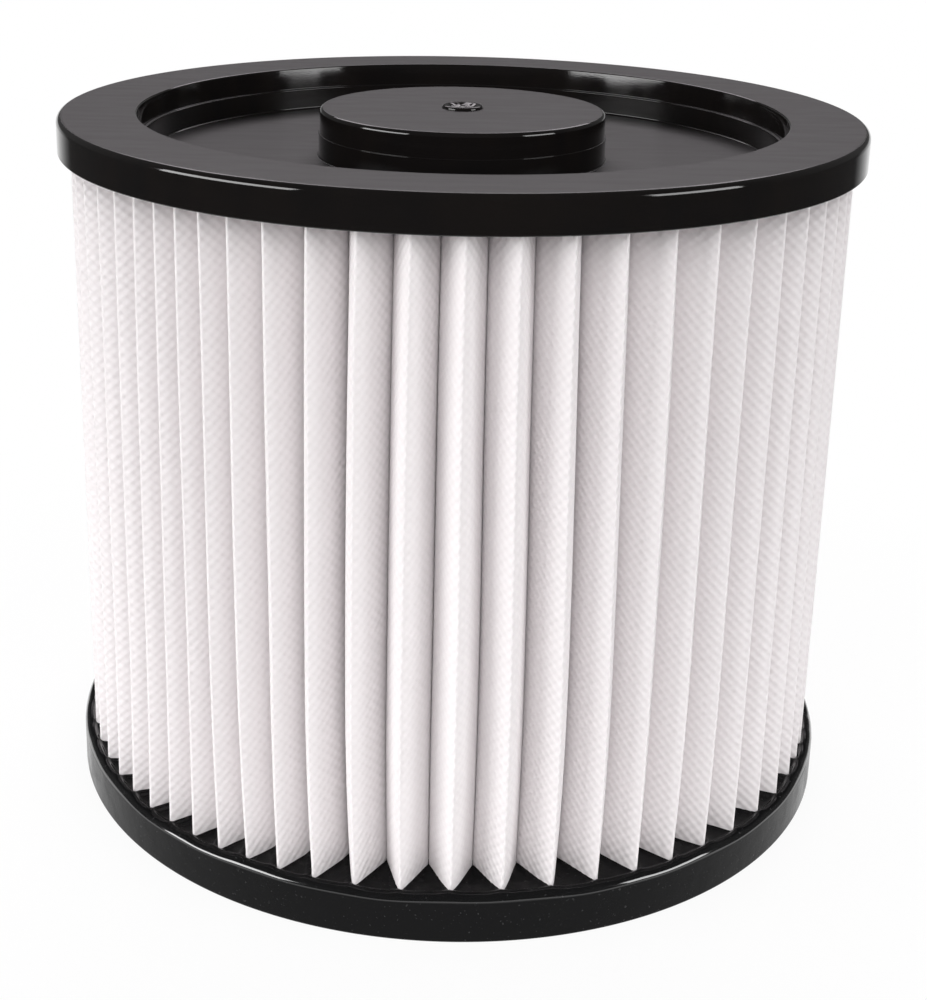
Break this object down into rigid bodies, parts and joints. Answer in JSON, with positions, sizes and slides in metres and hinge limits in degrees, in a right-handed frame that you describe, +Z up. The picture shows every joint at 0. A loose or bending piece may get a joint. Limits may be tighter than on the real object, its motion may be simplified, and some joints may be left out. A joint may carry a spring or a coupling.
{
  "type": "vacuum cartridge filter",
  "caption": "Round pleated cartridge filter for a wet and dry vacuum cleaner: white folded sheet between a black moulded end cap with a recessed centre boss and a soft black seal ring.",
  "frame": {"origin": "middle of the face that the seal ring stands on", "axes": "+Z up along the filter's axis, from the seal ring to the end cap; the pictured side faces -Y"},
  "size_m": [0.19, 0.19, 0.1658],
  "materials": {
    "cap_plastic": "glossy black moulding with a softer top face",
    "potting": "cast black adhesive",
    "filter_sheet": "white point-bonded nonwoven with a fine diamond emboss",
    "core_plastic": "plain black moulding",
    "seal_elastomer": "satin black cast elastomer"
  },
  "bodies": {
    "root": {"end_cap": "cap_plastic", "cap_potting": "potting", "pleated_media": "filter_sheet", "support_core": "core_plastic", "seal_ring": "seal_elastomer"}
  },
  "joints": []
}
